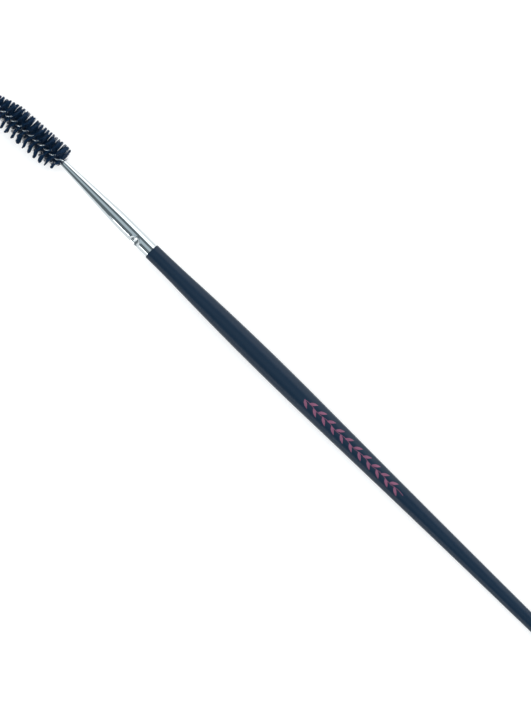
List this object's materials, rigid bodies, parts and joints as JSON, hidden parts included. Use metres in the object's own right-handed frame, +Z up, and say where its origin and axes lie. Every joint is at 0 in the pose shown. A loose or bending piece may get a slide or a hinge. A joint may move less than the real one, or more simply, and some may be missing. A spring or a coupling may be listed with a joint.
{
  "type": "mascara brush",
  "caption": "Slim cosmetics brush: a twisted-wire spiral bristle head in a tapered aluminium ferrule on a long painted wooden handle, lying on a table.",
  "frame": {"origin": "on the table, under the centre of the whole brush as it lies", "axes": "+X along the handle from the bristle head to the tail, +Z up from the table"},
  "size_m": [0.202, 0.0082, 0.0074],
  "materials": {
    "handle_lacquer": "satin dark blue lacquer on turned wood",
    "ferrule_aluminium": "polished drawn tube",
    "glue": "cured epoxy",
    "wire_steel": "drawn steel wire",
    "bristle_nylon": "fine black nylon fibres"
  },
  "bodies": {
    "root": {"handle": "handle_lacquer", "ferrule": "ferrule_aluminium", "glue_plug": "glue", "core_wire": "wire_steel", "bristles": "bristle_nylon"}
  },
  "joints": []
}
